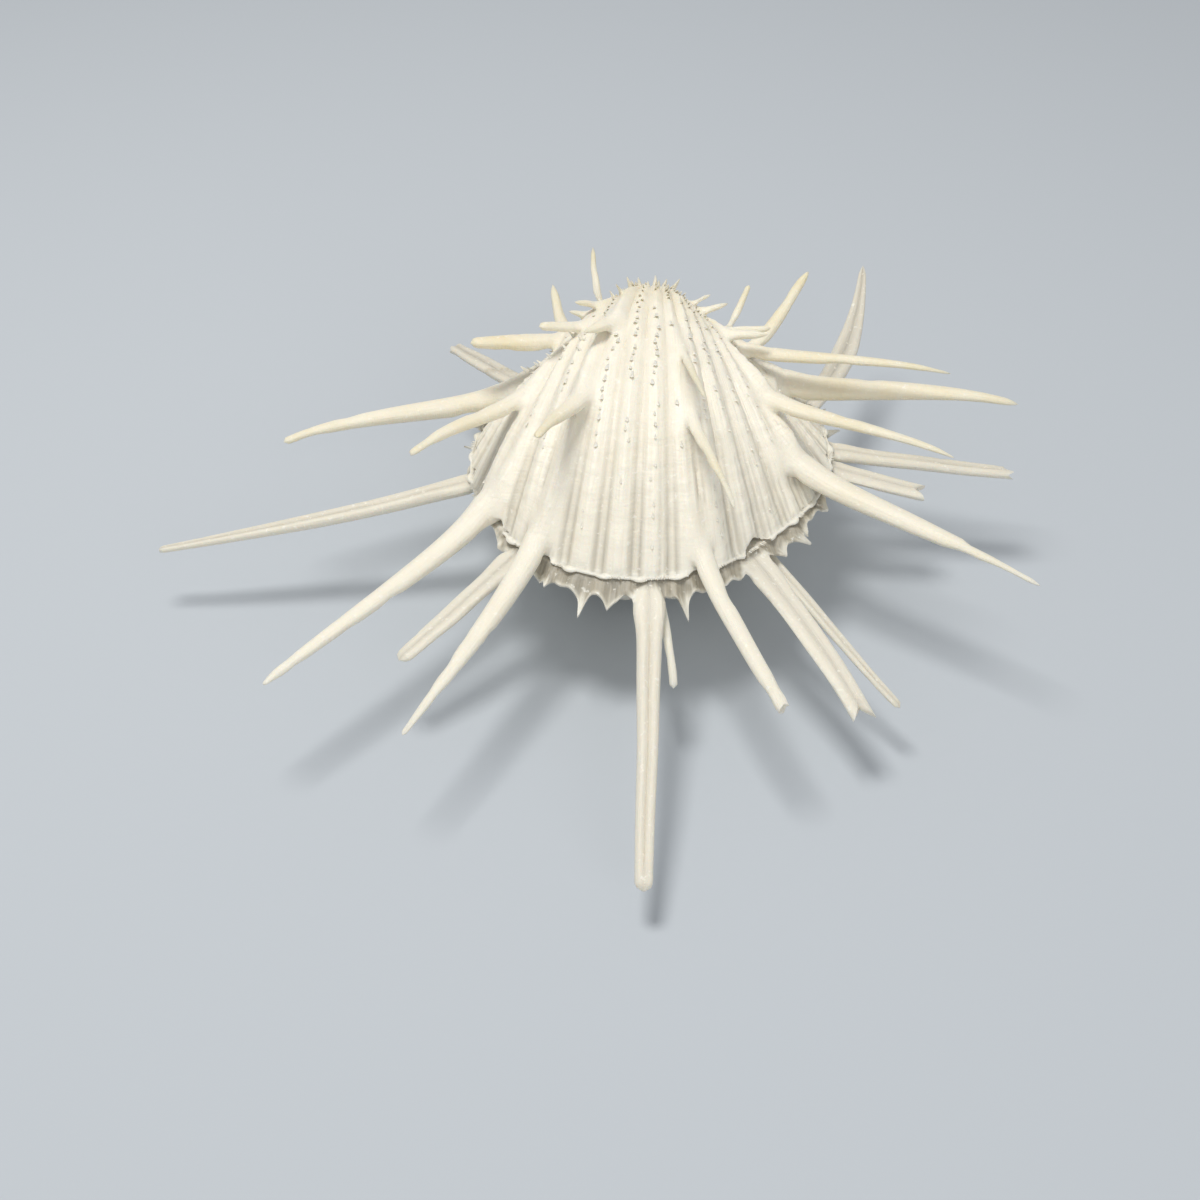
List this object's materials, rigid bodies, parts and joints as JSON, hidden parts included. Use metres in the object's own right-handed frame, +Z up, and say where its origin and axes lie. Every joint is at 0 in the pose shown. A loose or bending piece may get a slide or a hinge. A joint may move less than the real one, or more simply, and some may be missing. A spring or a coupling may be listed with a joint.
{
  "type": "thorny oyster shell",
  "caption": "Closed thorny oyster shell with long grooved spines around a ribbed dome and a flat cut scar to rest on.",
  "frame": {"origin": "in the flat scar under the lower valve, where the shell was cut from its rock", "axes": "+Z up, square to the scar; -Y towards the open front of the shell; +Y towards the hinge, which runs along X"},
  "size_m": [0.1942, 0.1865, 0.0596],
  "materials": {
    "upper_valve": "waxy off-white shell, satin, slightly translucent, more yellow towards the beak and on the older spines",
    "lower_valve": "waxy off-white shell, satin, thin and translucent at the frill and in the spines' grooves, chalky at the scar",
    "hinge_ligament": "dark brown horny ligament, dull"
  },
  "bodies": {
    "root": {"upper_valve": "upper_valve", "lower_valve": "lower_valve", "hinge_ligament": "hinge_ligament"}
  },
  "joints": []
}
